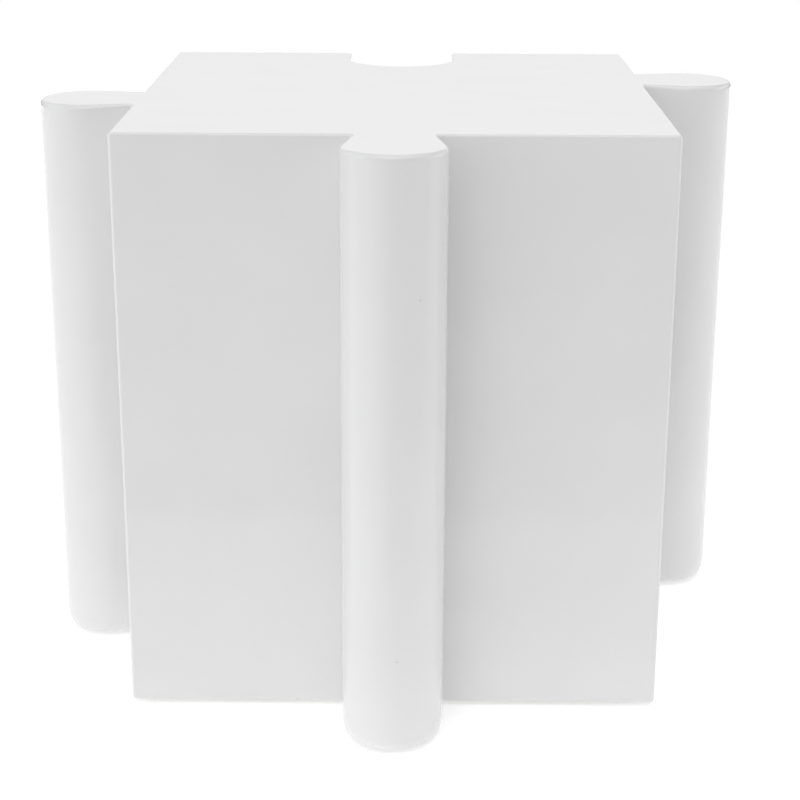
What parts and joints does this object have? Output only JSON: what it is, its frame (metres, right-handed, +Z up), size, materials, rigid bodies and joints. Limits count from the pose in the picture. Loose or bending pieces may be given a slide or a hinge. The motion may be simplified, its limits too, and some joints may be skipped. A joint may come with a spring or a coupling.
{
  "type": "display plinth",
  "caption": "Low square display plinth with a jigsaw outline: a full-height round-headed tab on the front and both sides, a U socket at the back, recessed levelling feet.",
  "frame": {"origin": "on the floor, under the middle of the plinth's bounding box", "axes": "+Z up, front tab towards -Y, +X towards the right tab, across the two side tabs"},
  "size_m": [0.565, 0.4876, 0.455],
  "materials": {
    "lacquered_board": "white gloss lacquer over filled MDF",
    "timber": "planed softwood",
    "plywood": "sanded birch plywood",
    "zinc_steel": "bright zinc plate",
    "nylon": "moulded black nylon"
  },
  "bodies": {
    "plinth": {"back_panel_left": "lacquered_board", "back_panel_right": "lacquered_board", "base_panel": "lacquered_board", "base_screw_back_left": "zinc_steel", "base_screw_back_right": "zinc_steel", "base_screw_front_left": "zinc_steel", "base_screw_front_right": "zinc_steel", "base_screw_front_tab": "zinc_steel", "base_screw_left_tab": "zinc_steel", "base_screw_right_tab": "zinc_steel", "base_screw_socket_left": "zinc_steel", "base_screw_socket_right": "zinc_steel", "corner_batten_back_left": "timber", "corner_batten_back_right": "timber", "corner_batten_front_left": "timber", "corner_batten_front_right": "timber", "foot_block_back_left": "plywood", "foot_block_back_right": "plywood", "foot_block_front_left": "plywood", "foot_block_front_right": "plywood", "front_panel": "lacquered_board", "front_tab_neck": "lacquered_board", "front_tab_nose": "lacquered_board", "front_tab_screw_lower": "zinc_steel", "front_tab_screw_upper": "zinc_steel", "left_panel": "lacquered_board", "left_tab_neck": "lacquered_board", "left_tab_nose": "lacquered_board", "left_tab_screw_lower": "zinc_steel", "left_tab_screw_upper": "zinc_steel", "mid_brace": "plywood", "right_panel": "lacquered_board", "right_tab_neck": "lacquered_board", "right_tab_nose": "lacquered_board", "right_tab_screw_lower": "zinc_steel", "right_tab_screw_upper": "zinc_steel", "socket_batten_left": "timber", "socket_batten_right": "timber", "socket_skin": "lacquered_board", "tee_nut_back_left": "zinc_steel", "tee_nut_back_right": "zinc_steel", "tee_nut_front_left": "zinc_steel", "tee_nut_front_right": "zinc_steel", "top_panel": "lacquered_board"},
    "foot_pad_front_left": {"foot_pad_front_left": "nylon"},
    "foot_stem_front_left": {"foot_stem_front_left": "zinc_steel"},
    "foot_pad_front_right": {"foot_pad_front_right": "nylon"},
    "foot_stem_front_right": {"foot_stem_front_right": "zinc_steel"},
    "foot_pad_back_left": {"foot_pad_back_left": "nylon"},
    "foot_stem_back_left": {"foot_stem_back_left": "zinc_steel"},
    "foot_pad_back_right": {"foot_pad_back_right": "nylon"},
    "foot_stem_back_right": {"foot_stem_back_right": "zinc_steel"}
  },
  "joints": [
    {"name": "foot_height_front_left", "type": "slide", "parent": "plinth", "child": "foot_pad_front_left", "axis": [0, 0, -1], "range_m": [0, 0.012]},
    {"name": "foot_turn_front_left", "type": "hinge", "parent": "foot_pad_front_left", "child": "foot_stem_front_left", "pos_m": [-0.139, -0.10025, 0.03], "axis": [0, 0, -1], "range_deg": [0, 3460]},
    {"name": "foot_height_front_right", "type": "slide", "parent": "plinth", "child": "foot_pad_front_right", "axis": [0, 0, -1], "range_m": [0, 0.012]},
    {"name": "foot_turn_front_right", "type": "hinge", "parent": "foot_pad_front_right", "child": "foot_stem_front_right", "pos_m": [0.139, -0.10025, 0.03], "axis": [0, 0, -1], "range_deg": [0, 3460]},
    {"name": "foot_height_back_left", "type": "slide", "parent": "plinth", "child": "foot_pad_back_left", "axis": [0, 0, -1], "range_m": [0, 0.012]},
    {"name": "foot_turn_back_left", "type": "hinge", "parent": "foot_pad_back_left", "child": "foot_stem_back_left", "pos_m": [-0.139, 0.17775, 0.03], "axis": [0, 0, -1], "range_deg": [0, 3460]},
    {"name": "foot_height_back_right", "type": "slide", "parent": "plinth", "child": "foot_pad_back_right", "axis": [0, 0, -1], "range_m": [0, 0.012]},
    {"name": "foot_turn_back_right", "type": "hinge", "parent": "foot_pad_back_right", "child": "foot_stem_back_right", "pos_m": [0.139, 0.17775, 0.03], "axis": [0, 0, -1], "range_deg": [0, 3460]}
  ],
  "couplings": [
    {"joint": "foot_turn_front_left", "follows": "foot_height_front_left", "rad_per_m": 5026.5},
    {"joint": "foot_turn_front_right", "follows": "foot_height_front_right", "rad_per_m": 5026.5},
    {"joint": "foot_turn_back_left", "follows": "foot_height_back_left", "rad_per_m": 5026.5},
    {"joint": "foot_turn_back_right", "follows": "foot_height_back_right", "rad_per_m": 5026.5}
  ]
}
